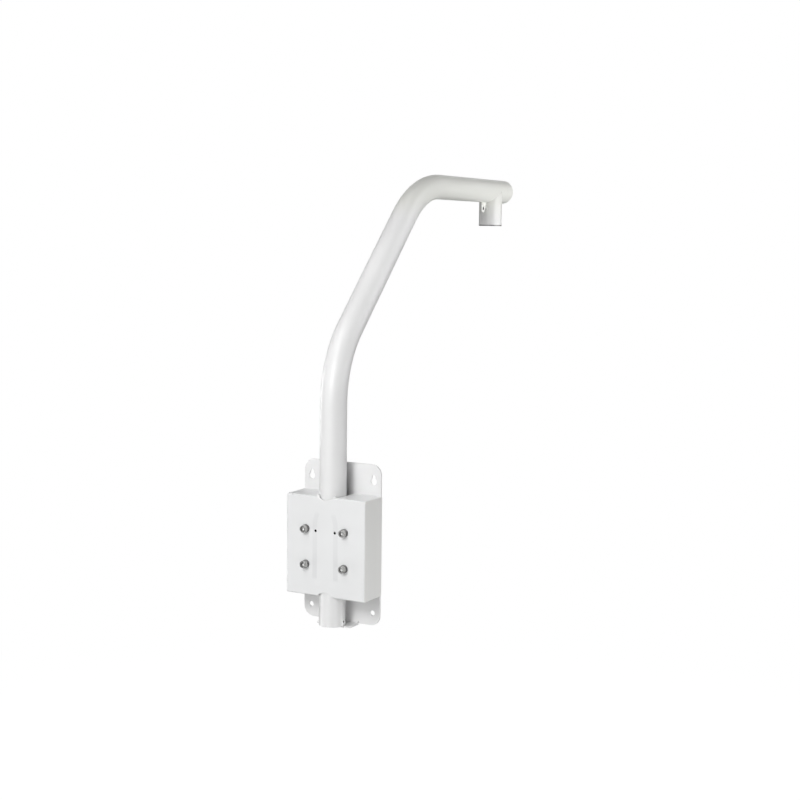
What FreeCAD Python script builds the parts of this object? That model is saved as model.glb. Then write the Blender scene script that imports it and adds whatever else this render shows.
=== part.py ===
import FreeCAD, Part
import Sketcher
import math
import os
from FreeCAD import Vector, Rotation, Placement

# Parapet mount for a camera: a wall plate, a folded clamp cover bolted to it, and a bent round mast that
# stands in the clamp and carries the camera over the far side of the wall.
#
# Frame: origin at the centre of the plate's wall-side face, X along the wall, Y into the wall, Z up.
# All lengths are in millimetres, all angles in degrees.

os.makedirs("parts", exist_ok=True)
doc = FreeCAD.newDocument("parapet_mount")
sheet = doc.addObject("Spreadsheet::Sheet", "sizes")

DIMENSIONS = [
    # wall plate
    ("plate_wide", 200.0, "plate width"),
    ("plate_high", 365.0, "plate height"),
    ("plate_thick", 4.0, "plate thickness"),
    ("plate_corner", 24.0, "plate corner radius"),
    ("key_aside", 81.0, "keyholes and lower holes, distance from the centre line"),
    ("key_up", 144.2, "keyhole, centre of the round entry"),
    ("key_entry_rad", 7.9, "keyhole, radius of the round entry"),
    ("key_slot_rad", 4.7, "keyhole, half width of the slot"),
    ("key_rise", 10.3, "keyhole, from entry centre to slot end centre"),
    ("low_hole_down", 154.2, "lower holes, below the centre"),
    ("low_hole_rad", 6.0, "lower holes, radius"),
    ("tongue_half", 44.0, "tongue, half width"),
    ("tongue_reach", 38.0, "tongue, reach in front of the plate"),
    ("tongue_corner", 9.0, "tongue, front corner radius"),
    ("tongue_bend", 2.0, "tongue, inside bend radius"),
    ("relief_wide", 2.0, "bend relief, width"),
    ("relief_high", 5.0, "bend relief, height above the plate's lower edge"),
    # mast
    ("mast_out", 44.0, "mast axis, distance from the wall face"),
    ("tube_rad", 30.0, "tube outside radius"),
    ("tube_wall", 3.0, "tube wall"),
    ("foot_gap", 0.2, "gap between the mast's foot and the tongue"),
    ("upright_top", 314.5, "height at which the first bend starts"),
    ("bend_rad", 240.0, "bend radius of the tube's axis"),
    ("lean_angle", 44.0, "lean of the middle run from upright"),
    ("lean_long", 354.0, "length of the leaning run"),
    ("arm_long", 369.1, "length of the level run"),
    ("cap_thick", 3.0, "end cap thickness"),
    ("foot_hole_rad", 2.5, "cross hole in the foot, radius"),
    ("foot_hole_up", 10.2, "cross hole, height above the foot's end"),
    ("cable_hole_rad", 19.0, "hole in the arm above the coupling, radius"),
    # camera coupling and safety eye
    ("coupling_back", 75.0, "coupling axis, distance back from the arm's end"),
    ("coupling_rad", 30.0, "coupling outside radius"),
    ("coupling_drop", 90.6, "coupling's lower face, below the arm's axis"),
    ("coupling_tip", 4.6, "coupling's highest points, below the arm's axis"),
    ("thread_rad", 23.9, "pipe thread, groove radius"),
    ("thread_deep", 30.0, "pipe thread, depth"),
    ("coupling_bore", 21.0, "coupling bore above the thread, radius"),
    ("eye_thick", 2.5, "safety eye plate thickness"),
    ("eye_out", 25.2, "safety eye, reach from the coupling's wall"),
    ("eye_low", 26.6, "safety eye, lower end below the arm's underside"),
    ("eye_corner", 9.6, "safety eye, radius of its two lower corners"),
    ("eye_ring", 10.3, "safety eye, half width round the hole"),
    ("eye_hole_rad", 4.5, "safety eye, hole radius"),
    ("eye_hole_out", 15.7, "safety eye, hole centre from the coupling's wall"),
    ("eye_hole_down", 16.3, "safety eye, hole centre below the arm's underside"),
    # clamp cover
    ("cover_wide", 204.4, "cover width"),
    ("cover_high", 226.0, "cover height"),
    ("cover_low", 0.5, "cover centre, below the origin"),
    ("cover_front", 76.3, "cover's front face, distance from the wall face"),
    ("cover_back", 2.0, "cover sides' rear edge, distance from the wall face"),
    ("flange_gap", 0.3, "gap between the level flanges and the plate"),
    ("cover_sheet", 2.0, "cover sheet thickness"),
    ("cover_bend", 3.5, "cover outside bend radius"),
    ("cover_edge", 3.0, "radius along the welded corners"),
    ("slot_rad", 31.0, "cover slot radius round the mast"),
    ("notch_high", 9.4, "height of the slot's end in the front sheet"),
    ("lock_aside", 25.0, "locking screw holes, distance from the centre line"),
    ("lock_up", 34.2, "locking screw holes, height"),
    ("lock_rad", 3.0, "locking screw holes, radius"),
    # clamp rails
    ("rail_near", 20.0, "rail, nearer side from the centre line"),
    ("rail_far", 34.0, "rail, further side from the centre line"),
    ("rail_deep", 18.3, "rail depth"),
    ("rail_long", 185.3, "rail length, up to just below the top flange"),
    ("rail_foot", 76.5, "rail's lower end, below the origin"),
    ("clamp_gap", 0.3, "gap between the mast and the clamp's faces"),
    # saddles
    ("saddle_half", 42.0, "saddle half width"),
    ("saddle_tall", 20.0, "saddle half height"),
    ("saddle_sheet", 3.0, "saddle sheet thickness"),
    ("saddle_deep", 34.0, "saddle depth in front of the plate"),
    ("saddle_bend", 1.5, "saddle inside bend radius"),
    ("saddle_corner", 6.0, "saddle ear corner radius"),
    ("saddle_above", 82.0, "upper saddle, height"),
    ("saddle_below", 83.0, "lower saddle, below the origin"),
    # bolts and what they screw into
    ("bolt_aside", 50.0, "bolts, distance from the centre line"),
    ("bolt_pitch", 80.4, "bolts, height between the rows"),
    ("bolt_mid", 2.8, "bolts, middle of the rows below the origin"),
    ("bolt_rad", 5.0, "bolt shank radius"),
    ("bolt_long", 40.0, "bolt length under the head"),
    ("head_rad", 8.0, "bolt head radius"),
    ("head_high", 10.0, "bolt head height"),
    ("socket_flats", 8.0, "bolt socket across flats"),
    ("socket_deep", 5.0, "bolt socket depth"),
    ("bolt_hole_rad", 5.5, "bolt hole in the cover, radius"),
    ("washer_rad", 9.0, "flat washer radius"),
    ("washer_hole", 5.25, "flat washer hole radius"),
    ("washer_thick", 2.0, "flat washer thickness"),
    ("spring_rad", 9.05, "spring washer radius"),
    ("spring_hole", 5.1, "spring washer hole radius"),
    ("spring_thick", 2.6, "spring washer thickness"),
    ("spring_split", 1.4, "spring washer split"),
    ("pillar_rad", 10.0, "pillar radius"),
    ("pillar_short", 1.5, "gap between the pillar's end and the cover"),
    ("pillar_tap", 5.05, "pillar's tapped hole, radius"),
    ("pillar_tap_deep", 45.0, "pillar's tapped hole, depth"),
]


class Size:
    """A length held twice: as a number, and as the text that binds it to the sheet."""

    def __init__(self, value, text):
        self.value = float(value)
        self.text = text

    def __add__(self, other):
        return Size(self.value + number(other), "(%s + %s)" % (self.text, words(other)))

    def __radd__(self, other):
        return Size(number(other) + self.value, "(%s + %s)" % (words(other), self.text))

    def __sub__(self, other):
        return Size(self.value - number(other), "(%s - %s)" % (self.text, words(other)))

    def __rsub__(self, other):
        return Size(number(other) - self.value, "(%s - %s)" % (words(other), self.text))

    def __mul__(self, other):
        return Size(self.value * number(other), "(%s * %s)" % (self.text, words(other)))

    __rmul__ = __mul__

    def __truediv__(self, other):
        return Size(self.value / number(other), "(%s / %s)" % (self.text, words(other)))

    def __neg__(self):
        return Size(-self.value, "(0 - %s)" % self.text)


def number(q):
    return q.value if isinstance(q, Size) else float(q)


def words(q):
    return q.text if isinstance(q, Size) else repr(float(q))


S = {}
for row, (alias, value, note) in enumerate(DIMENSIONS, start=1):
    sheet.set("A%d" % row, note)
    sheet.set("B%d" % row, repr(value))
    sheet.setAlias("B%d" % row, alias)
    S[alias] = Size(value, "sizes.%s" % alias)
doc.recompute()


class D:
    """The same sizes, read by name."""


for alias in S:
    setattr(D, alias, S[alias])


# ---------------------------------------------------------------------------------------------------------
# helpers: sketches whose points are all bound to the sheet, and the features made from them
# ---------------------------------------------------------------------------------------------------------

def new_body(name):
    body = doc.addObject("PartDesign::Body", name + "_body")
    body.Label = name
    return body


def bind(obj, path, q):
    if isinstance(q, Size):
        obj.setExpression(path, q.text)


def sketch(body, name, role, offset=0.0):
    """A sketch on one of the body's own planes. XZ looks along +Y, so its offset runs towards -Y."""
    sk = body.newObject("Sketcher::SketchObject", name)
    plane = [f for f in body.Origin.OriginFeatures if f.Role == role][0]
    sk.AttachmentSupport = [(plane, "")]
    sk.MapMode = "FlatFace"
    sk.AttachmentOffset = Placement(Vector(0, 0, number(offset)), Rotation())
    bind(sk, ".AttachmentOffset.Base.z", offset)
    return sk


def pin(sk, geo, pos, x, y):
    """Fix one point of a sketch at (x, y)."""
    for kind, q, axis in (("DistanceX", x, -2), ("DistanceY", y, -1)):
        value = number(q)
        if abs(value) < 1e-9:
            sk.addConstraint(Sketcher.Constraint("PointOnObject", geo, pos, axis))
        elif value > 0:
            k = sk.addConstraint(Sketcher.Constraint(kind, -1, 1, geo, pos, value))
            bind(sk, "Constraints[%d]" % k, q)
        else:
            k = sk.addConstraint(Sketcher.Constraint(kind, geo, pos, -1, 1, -value))
            bind(sk, "Constraints[%d]" % k, -q if isinstance(q, Size) else -value)


def circle(sk, x, y, radius):
    g = sk.addGeometry(Part.Circle(Vector(number(x), number(y), 0), Vector(0, 0, 1), number(radius)), False)
    pin(sk, g, 3, x, y)
    k = sk.addConstraint(Sketcher.Constraint("Radius", g, number(radius)))
    bind(sk, "Constraints[%d]" % k, radius)
    return g


def polygon(sk, points):
    flat = [Vector(number(x), number(y), 0) for x, y in points]
    n = len(flat)
    ids = [sk.addGeometry(Part.LineSegment(flat[i], flat[(i + 1) % n]), False) for i in range(n)]
    for i in range(n):
        sk.addConstraint(Sketcher.Constraint("Coincident", ids[i], 2, ids[(i + 1) % n], 1))
    for i in range(n):
        pin(sk, ids[i], 1, points[i][0], points[i][1])
    return ids


def rectangle(sk, x0, x1, y0, y1):
    return polygon(sk, [(x0, y0), (x1, y0), (x1, y1), (x0, y1)])


def pad(body, sk, name, length, both=False, back=False):
    f = body.newObject("PartDesign::Pad", name)
    f.Profile = sk
    f.Length = number(length)
    bind(f, "Length", length)
    f.Midplane = both
    f.Reversed = back
    sk.Visibility = False
    doc.recompute()
    return f


def pocket(body, sk, name, length=None, both=False, back=False):
    """Cut the sketch out of the body. A cut that takes nothing away is a mistake, so the volume is compared."""
    doc.recompute()
    before = body.Shape.Volume
    f = body.newObject("PartDesign::Pocket", name)
    f.Profile = sk
    if length is None:
        f.Type = "ThroughAll"
    else:
        f.Type = "Length"
        f.Length = number(length)
        bind(f, "Length", length)
    f.Midplane = both
    f.Reversed = back
    sk.Visibility = False
    doc.recompute()
    after = body.Shape.Volume
    if not after < before - 1e-3:
        raise RuntimeError("%s cuts nothing" % name)
    return f


def edges_of(feature, test):
    return ["Edge%d" % (i + 1) for i, e in enumerate(feature.Shape.Edges) if test(e)]


def fillet(body, feature, name, radius, test, expect=None):
    names = edges_of(feature, test)
    if not names or (expect is not None and len(names) != expect):
        raise RuntimeError("%s found %d edges" % (name, len(names)))
    f = body.newObject("PartDesign::Fillet", name)
    f.Base = (feature, names)
    f.Radius = number(radius)
    bind(f, "Radius", radius)
    doc.recompute()
    return f


def chamfer(body, feature, name, size, test, expect=None):
    names = edges_of(feature, test)
    if not names or (expect is not None and len(names) != expect):
        raise RuntimeError("%s found %d edges" % (name, len(names)))
    f = body.newObject("PartDesign::Chamfer", name)
    f.Base = (feature, names)
    f.Size = number(size)
    bind(f, "Size", size)
    doc.recompute()
    return f


def straight(e, axis):
    """True for a straight edge along the axis."""
    if e.Curve.TypeId != "Part::GeomLine":
        return False
    d = e.Curve.Direction
    return abs(abs({"x": d.x, "y": d.y, "z": d.z}[axis]) - 1) < 1e-6


def near(a, b, tol=0.02):
    return abs(a - number(b)) < tol


def mid(e):
    return e.BoundBox.Center


def four_corners(sk, radius):
    """The same circle at each of the four bolt places, on an XZ sketch."""
    for sx in (-1, 1):
        for sz in (-1, 1):
            circle(sk, D.bolt_aside * sx, D.bolt_pitch * (0.5 * sz) - D.bolt_mid, radius)


def set_of_four(name, unit, depth):
    """One node of four like pieces: the unit's shape at each bolt place, its seat at Y = -depth."""
    links = []
    for i, (sx, sz) in enumerate(((-1, 1), (1, 1), (-1, -1), (1, -1)), start=1):
        link = doc.addObject("App::Link", "%s_%d" % (name, i))
        link.LinkedObject = unit
        x, z = D.bolt_aside * sx, D.bolt_pitch * (0.5 * sz) - D.bolt_mid
        link.Placement = Placement(Vector(number(x), -number(depth), number(z)), Rotation())
        bind(link, ".Placement.Base.x", x)
        bind(link, ".Placement.Base.y", -depth)
        bind(link, ".Placement.Base.z", z)
        links.append(link)
    group = doc.addObject("Part::Compound", name + "_set")
    group.Label = name
    group.Links = links
    doc.recompute()
    return group


parts = []

# ---------------------------------------------------------------------------------------------------------
# derived places
# ---------------------------------------------------------------------------------------------------------
half_w, half_h = D.plate_wide / 2, D.plate_high / 2
foot = -half_h + D.foot_gap                                    # the mast's lower end
lean = math.radians(D.lean_angle.value)
lean_sin, lean_cos = math.sin(lean), math.cos(lean)
bend_sin = Size(lean_sin, "sin(sizes.lean_angle * 1 deg)")
bend_cos = Size(lean_cos, "cos(sizes.lean_angle * 1 deg)")
arm_up = D.upright_top + D.bend_rad * bend_sin + D.lean_long * bend_cos + D.bend_rad * (1 - bend_sin)
arm_from = -D.mast_out + D.bend_rad * (1 - bend_cos) + D.lean_long * bend_sin + D.bend_rad * bend_cos
arm_to = arm_from + D.arm_long                                 # where the end cap starts
arm_end = arm_to + D.cap_thick
drop_at = arm_end - D.coupling_back                            # the coupling's axis
cover_top = D.cover_high / 2 - D.cover_low
cover_foot = -D.cover_high / 2 - D.cover_low
cover_in = D.cover_front - D.cover_sheet                       # the front sheet's inner face

# ---------------------------------------------------------------------------------------------------------
# back_plate: one cut and folded sheet, with two keyholes, two round holes and the tongue under the mast
# ---------------------------------------------------------------------------------------------------------
body = new_body("back_plate")
sk = sketch(body, "plate_outline", "XZ_Plane")
rectangle(sk, -half_w, half_w, -half_h, half_h)
f = pad(body, sk, "plate_sheet", D.plate_thick)
f = fillet(body, f, "plate_corners", D.plate_corner, lambda e: straight(e, "y"), 4)
sk = sketch(body, "tongue_outline", "XY_Plane", -half_h - D.plate_thick)
rectangle(sk, -D.tongue_half, D.tongue_half, -(D.plate_thick + D.tongue_reach), 0)
f = pad(body, sk, "tongue_sheet", D.plate_thick)
sk = sketch(body, "relief_outline", "XZ_Plane")
for side in (-1, 1):
    a, b = D.tongue_half * side, (D.tongue_half + D.relief_wide) * side
    if side < 0:
        a, b = b, a
    rectangle(sk, a, b, -half_h - 2, -half_h + D.relief_high)
f = pocket(body, sk, "bend_reliefs", both=True)
f = fillet(body, f, "tongue_corners", D.tongue_corner,
           lambda e: straight(e, "z") and near(mid(e).y, -(D.plate_thick + D.tongue_reach)), 2)
f = fillet(body, f, "tongue_bend_inside", D.tongue_bend,
           lambda e: straight(e, "x") and near(mid(e).y, -D.plate_thick) and near(mid(e).z, -half_h)
           and near(mid(e).x, 0), 1)
f = fillet(body, f, "tongue_bend_outside", D.tongue_bend + D.plate_thick,
           lambda e: straight(e, "x") and near(mid(e).y, 0) and near(mid(e).z, -half_h - D.plate_thick), 1)
sk = sketch(body, "hole_outline", "XZ_Plane")
for side in (-1, 1):
    circle(sk, D.key_aside * side, D.key_up, D.key_entry_rad)
    circle(sk, D.key_aside * side, -D.low_hole_down, D.low_hole_rad)
f = pocket(body, sk, "round_holes", both=True)
sk = sketch(body, "slot_outline", "XZ_Plane")
for side in (-1, 1):
    rectangle(sk, D.key_aside * side - D.key_slot_rad, D.key_aside * side + D.key_slot_rad,
              D.key_up, D.key_up + D.key_rise)
f = pocket(body, sk, "keyhole_slots", both=True)
sk = sketch(body, "slot_end_outline", "XZ_Plane")
for side in (-1, 1):
    circle(sk, D.key_aside * side, D.key_up + D.key_rise, D.key_slot_rad)
f = pocket(body, sk, "keyhole_ends", both=True)
parts.append(body)

# ---------------------------------------------------------------------------------------------------------
# saddles: two folded channels, each ear hollowed to the mast's rear half, with a running gap
# ---------------------------------------------------------------------------------------------------------
for name, height in (("saddle_upper", D.saddle_above), ("saddle_lower", -D.saddle_below)):
    body = new_body(name)
    sk = sketch(body, name + "_base_outline", "XZ_Plane", D.plate_thick)
    rectangle(sk, -D.saddle_half, D.saddle_half, height - D.saddle_tall, height + D.saddle_tall)
    f = pad(body, sk, name + "_base", D.saddle_sheet)
    sk = sketch(body, name + "_ear_outline", "XZ_Plane", D.plate_thick)
    rectangle(sk, -D.saddle_half, D.saddle_half, height + D.saddle_tall - D.saddle_sheet, height + D.saddle_tall)
    rectangle(sk, -D.saddle_half, D.saddle_half, height - D.saddle_tall, height - D.saddle_tall + D.saddle_sheet)
    f = pad(body, sk, name + "_ears", D.saddle_deep)
    lo, hi = number(height - D.saddle_tall), number(height + D.saddle_tall)
    f = fillet(body, f, name + "_bend_outside", D.saddle_bend + D.saddle_sheet,
               lambda e: straight(e, "x") and near(mid(e).y, -D.plate_thick)
               and (near(mid(e).z, lo) or near(mid(e).z, hi)), 2)
    inner = -(D.plate_thick + D.saddle_sheet)
    f = fillet(body, f, name + "_bend_inside", D.saddle_bend,
               lambda e: straight(e, "x") and near(mid(e).y, inner)
               and (near(mid(e).z, lo + D.saddle_sheet.value) or near(mid(e).z, hi - D.saddle_sheet.value)), 2)
    f = fillet(body, f, name + "_ear_corners", D.saddle_corner,
               lambda e: straight(e, "z") and near(mid(e).y, -(D.plate_thick + D.saddle_deep)), 4)
    sk = sketch(body, name + "_seat_outline", "XY_Plane")
    circle(sk, 0, -D.mast_out, D.tube_rad + D.clamp_gap)
    f = pocket(body, sk, name + "_seat", both=True)
    parts.append(body)

# ---------------------------------------------------------------------------------------------------------
# threaded_pillars: four round pillars welded to the plate, tapped from the front
# ---------------------------------------------------------------------------------------------------------
body = new_body("threaded_pillars")
sk = sketch(body, "pillar_outline", "XZ_Plane", D.plate_thick)
four_corners(sk, D.pillar_rad)
f = pad(body, sk, "pillar_stock", cover_in - D.pillar_short - D.plate_thick)
sk = sketch(body, "tap_outline", "XZ_Plane", cover_in - D.pillar_short)
four_corners(sk, D.pillar_tap)
f = pocket(body, sk, "pillar_taps", D.pillar_tap_deep)
f = chamfer(body, f, "pillar_edges", 1.0,
            lambda e: e.Curve.TypeId == "Part::GeomCircle" and near(mid(e).y, -(cover_in - D.pillar_short)), 8)
parts.append(body)

# ---------------------------------------------------------------------------------------------------------
# clamp_cover: a folded box, open towards the wall, slotted top and bottom for the mast
# ---------------------------------------------------------------------------------------------------------
body = new_body("clamp_cover")
half_c = D.cover_wide / 2
sk = sketch(body, "cover_outline", "XZ_Plane", D.cover_back)
rectangle(sk, -half_c, half_c, cover_foot, cover_top)
f = pad(body, sk, "cover_block", D.cover_front - D.cover_back)
f = fillet(body, f, "cover_corner_edges", D.cover_edge, lambda e: straight(e, "y"), 4)
f = fillet(body, f, "cover_front_bends", D.cover_bend,
           lambda e: e.BoundBox.YMax < -number(D.cover_front) + 0.01, 8)
sk = sketch(body, "cover_inside_outline", "XZ_Plane", D.cover_back)
rectangle(sk, -half_c + D.cover_sheet, half_c - D.cover_sheet, cover_foot + D.cover_sheet, cover_top - D.cover_sheet)
f = pocket(body, sk, "cover_inside", cover_in - D.cover_back, back=True)
f = fillet(body, f, "cover_inside_bends", D.cover_bend - D.cover_sheet,
           lambda e: near(mid(e).y, -cover_in) and e.BoundBox.YLength < 0.01
           and abs(mid(e).x) < number(half_c) - 1.5 and abs(mid(e).z) < 112, 4)
sk = sketch(body, "flange_trim_outline", "XZ_Plane", D.cover_back)
rectangle(sk, -half_c + D.cover_sheet, half_c - D.cover_sheet, cover_foot - 5, cover_top + 5)
f = pocket(body, sk, "flange_trim", D.plate_thick + D.flange_gap - D.cover_back, back=True)
slot_at = D.cover_front - D.slot_rad + D.notch_high - D.cover_bend
for name, plane, back in (("top", cover_top + 1, False), ("bottom", cover_foot - 1, True)):
    sk = sketch(body, name + "_slot_outline", "XY_Plane", plane)
    circle(sk, 0, -slot_at, D.slot_rad)
    f = pocket(body, sk, name + "_slot", D.cover_bend + 1, back=back)
    sk = sketch(body, name + "_slot_mouth_outline", "XY_Plane", plane)
    rectangle(sk, -D.slot_rad, D.slot_rad, -slot_at, 0)
    f = pocket(body, sk, name + "_slot_mouth", D.cover_bend + 1, back=back)
sk = sketch(body, "front_notch_outline", "XZ_Plane", D.cover_front + 1)
circle(sk, 0, cover_top - D.notch_high + D.slot_rad, D.slot_rad)
circle(sk, 0, cover_foot + D.notch_high - D.slot_rad, D.slot_rad)
f = pocket(body, sk, "front_notches", D.cover_bend + 1)
sk = sketch(body, "bolt_hole_outline", "XZ_Plane", D.cover_front + 1)
four_corners(sk, D.bolt_hole_rad)
f = pocket(body, sk, "bolt_holes", D.cover_sheet + 2)
sk = sketch(body, "lock_hole_outline", "XZ_Plane", D.cover_front + 1)
circle(sk, -D.lock_aside, D.lock_up, D.lock_rad)
circle(sk, D.lock_aside, D.lock_up, D.lock_rad)
f = pocket(body, sk, "lock_holes", D.cover_sheet + 2)
parts.append(body)

# ---------------------------------------------------------------------------------------------------------
# clamp rails: two bars welded inside the cover, their slanting faces just clear of the mast
# ---------------------------------------------------------------------------------------------------------
root_two = math.sqrt(2.0)
face_at = D.mast_out + (D.tube_rad + D.clamp_gap) * root_two   # the slanting face is the line y = x - face_at
for name, side in (("clamp_rail_left", -1), ("clamp_rail_right", 1)):
    body = new_body(name)
    sk = sketch(body, name + "_outline", "XY_Plane", -D.rail_foot)
    polygon(sk, [(D.rail_near * side, -cover_in), (D.rail_far * side, -cover_in),
                 (D.rail_far * side, -cover_in + D.rail_deep),
                 ((face_at - cover_in + D.rail_deep) * side, -cover_in + D.rail_deep),
                 (D.rail_near * side, D.rail_near - face_at)])
    f = pad(body, sk, name + "_bar", D.rail_long)
    sk = sketch(body, name + "_lock_outline", "XZ_Plane")
    circle(sk, D.lock_aside * side, D.lock_up, D.lock_rad)
    f = pocket(body, sk, name + "_lock_hole", both=True)
    parts.append(body)

# ---------------------------------------------------------------------------------------------------------
# fasteners: socket-head screws with a spring washer and a flat washer under each head
# ---------------------------------------------------------------------------------------------------------
unit = new_body("one_bolt")
sk = sketch(unit, "head_outline", "XZ_Plane")
circle(sk, 0, 0, D.head_rad)
f = pad(unit, sk, "bolt_head", D.head_high)
sk = sketch(unit, "shank_outline", "XZ_Plane")
circle(sk, 0, 0, D.bolt_rad)
f = pad(unit, sk, "bolt_shank", D.bolt_long, back=True)
sk = sketch(unit, "socket_outline", "XZ_Plane", D.head_high)
across = D.socket_flats / math.sqrt(3.0)
polygon(sk, [(across, 0), (across / 2, D.socket_flats / 2), (-across / 2, D.socket_flats / 2),
             (-across, 0), (-across / 2, -D.socket_flats / 2), (across / 2, -D.socket_flats / 2)])
f = pocket(unit, sk, "bolt_socket", D.socket_deep)
f = fillet(unit, f, "head_rim", 0.9,
           lambda e: e.Curve.TypeId == "Part::GeomCircle" and near(mid(e).y, -D.head_high)
           and near(e.Curve.Radius, D.head_rad), 1)
f = chamfer(unit, f, "shank_tip", 0.9,
            lambda e: e.Curve.TypeId == "Part::GeomCircle" and near(mid(e).y, D.bolt_long), 1)
parts.append(set_of_four("clamp_bolts", unit, D.cover_front + D.washer_thick + D.spring_thick))

unit = new_body("one_spring_washer")
sk = sketch(unit, "spring_outline", "XZ_Plane")
circle(sk, 0, 0, D.spring_rad)
circle(sk, 0, 0, D.spring_hole)
f = pad(unit, sk, "spring_ring", D.spring_thick)
sk = sketch(unit, "split_outline", "YZ_Plane")
polygon(sk, [(1, -D.spring_split), (1, 0), (-D.spring_thick - 1, D.spring_split * 2),
             (-D.spring_thick - 1, D.spring_split)])
f = pocket(unit, sk, "spring_split_cut", D.spring_rad + 2, back=True)
parts.append(set_of_four("spring_washers", unit, D.cover_front + D.washer_thick))

unit = new_body("one_flat_washer")
sk = sketch(unit, "flat_outline", "XZ_Plane")
circle(sk, 0, 0, D.washer_rad)
circle(sk, 0, 0, D.washer_hole)
f = pad(unit, sk, "flat_ring", D.washer_thick)
parts.append(set_of_four("flat_washers", unit, D.cover_front))

# ---------------------------------------------------------------------------------------------------------
# mast_tube: one bent tube, upright, leaning and level
# ---------------------------------------------------------------------------------------------------------
body = new_body("mast_tube")
path = sketch(body, "mast_path", "YZ_Plane")
r, a = D.bend_rad.value, lean
y0, z0, z1 = -D.mast_out.value, foot.value, D.upright_top.value
c1 = Vector(y0 + r, z1, 0)
p1 = Vector(c1.x - r * lean_cos, z1 + r * lean_sin, 0)
p2 = Vector(p1.x + D.lean_long.value * lean_sin, p1.y + D.lean_long.value * lean_cos, 0)
c2 = Vector(p2.x + r * lean_cos, p2.y - r * lean_sin, 0)
p3 = Vector(c2.x, c2.y + r, 0)
p4 = Vector(p3.x + D.arm_long.value, p3.y, 0)
g = [path.addGeometry(Part.LineSegment(Vector(y0, z0, 0), Vector(y0, z1, 0)), False),
     path.addGeometry(Part.ArcOfCircle(Part.Circle(c1, Vector(0, 0, 1), r), math.pi - a, math.pi), False),
     path.addGeometry(Part.LineSegment(p1, p2), False),
     path.addGeometry(Part.ArcOfCircle(Part.Circle(c2, Vector(0, 0, 1), r), math.pi / 2, math.pi - a), False),
     path.addGeometry(Part.LineSegment(p3, p4), False)]
C = Sketcher.Constraint
path.addConstraint(C("Tangent", g[0], 2, g[1], 2))
path.addConstraint(C("Tangent", g[1], 1, g[2], 1))
path.addConstraint(C("Tangent", g[2], 2, g[3], 2))
path.addConstraint(C("Tangent", g[3], 1, g[4], 1))
pin(path, g[0], 1, -D.mast_out, foot)
path.addConstraint(C("Vertical", g[0]))
path.addConstraint(C("Horizontal", g[4]))
for kind, geo, q in (("DistanceY", g[0], D.upright_top - foot), ("Radius", g[1], D.bend_rad),
                     ("Distance", g[2], D.lean_long), ("Radius", g[3], D.bend_rad),
                     ("DistanceX", g[4], D.arm_long)):
    if kind == "Radius":
        k = path.addConstraint(C(kind, geo, number(q)))
    else:
        k = path.addConstraint(C(kind, geo, 1, geo, 2, number(q)))
    bind(path, "Constraints[%d]" % k, q)
k = path.addConstraint(C("Angle", g[0], 1, g[2], 1, -a))
path.setExpression("Constraints[%d]" % k, "-sizes.lean_angle * 1 deg")
ring = sketch(body, "tube_section", "XY_Plane", foot)
circle(ring, 0, -D.mast_out, D.tube_rad)
circle(ring, 0, -D.mast_out, D.tube_rad - D.tube_wall)
doc.recompute()
pipe = body.newObject("PartDesign::AdditivePipe", "bent_tube")
pipe.Profile = ring
pipe.Spine = (path, ["Edge%d" % (i + 1) for i in range(5)])
path.Visibility = False
ring.Visibility = False
doc.recompute()
sk = sketch(body, "foot_hole_outline", "YZ_Plane")
circle(sk, -D.mast_out, foot + D.foot_hole_up, D.foot_hole_rad)
f = pocket(body, sk, "foot_hole", both=True)
sk = sketch(body, "cable_hole_outline", "XY_Plane", arm_up)
circle(sk, 0, drop_at, D.cable_hole_rad)
f = pocket(body, sk, "cable_hole", D.tube_rad + 5)
parts.append(body)

# ---------------------------------------------------------------------------------------------------------
# arm_end_cap: a disc welded over the arm's open end
# ---------------------------------------------------------------------------------------------------------
body = new_body("arm_end_cap")
sk = sketch(body, "cap_outline", "XZ_Plane", -arm_to)
circle(sk, 0, arm_up, D.tube_rad)
f = pad(body, sk, "cap_disc", D.cap_thick, back=True)
f = fillet(body, f, "cap_rim", 1.0, lambda e: near(mid(e).y, arm_end, 0.01), 1)
parts.append(body)

# ---------------------------------------------------------------------------------------------------------
# camera_coupling: a turned socket, hollowed at the top to sit on the arm, bored and threaded below
# ---------------------------------------------------------------------------------------------------------
body = new_body("camera_coupling")
sk = sketch(body, "coupling_outline", "XY_Plane", arm_up - D.coupling_drop)
circle(sk, 0, drop_at, D.coupling_rad)
f = pad(body, sk, "coupling_stock", D.coupling_drop - D.coupling_tip)
sk = sketch(body, "coupling_seat_outline", "XZ_Plane")
circle(sk, 0, arm_up, D.tube_rad)
f = pocket(body, sk, "coupling_seat", both=True)
sk = sketch(body, "coupling_bore_outline", "XY_Plane", arm_up)
circle(sk, 0, drop_at, D.coupling_bore)
f = pocket(body, sk, "coupling_bore_cut", both=True)
sk = sketch(body, "coupling_thread_outline", "XY_Plane", arm_up - D.coupling_drop)
circle(sk, 0, drop_at, D.thread_rad)
f = pocket(body, sk, "coupling_thread", D.thread_deep, back=True)
f = chamfer(body, f, "coupling_rim", 0.8,
            lambda e: e.Curve.TypeId == "Part::GeomCircle" and near(mid(e).z, arm_up - D.coupling_drop), 2)
parts.append(body)

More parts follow.
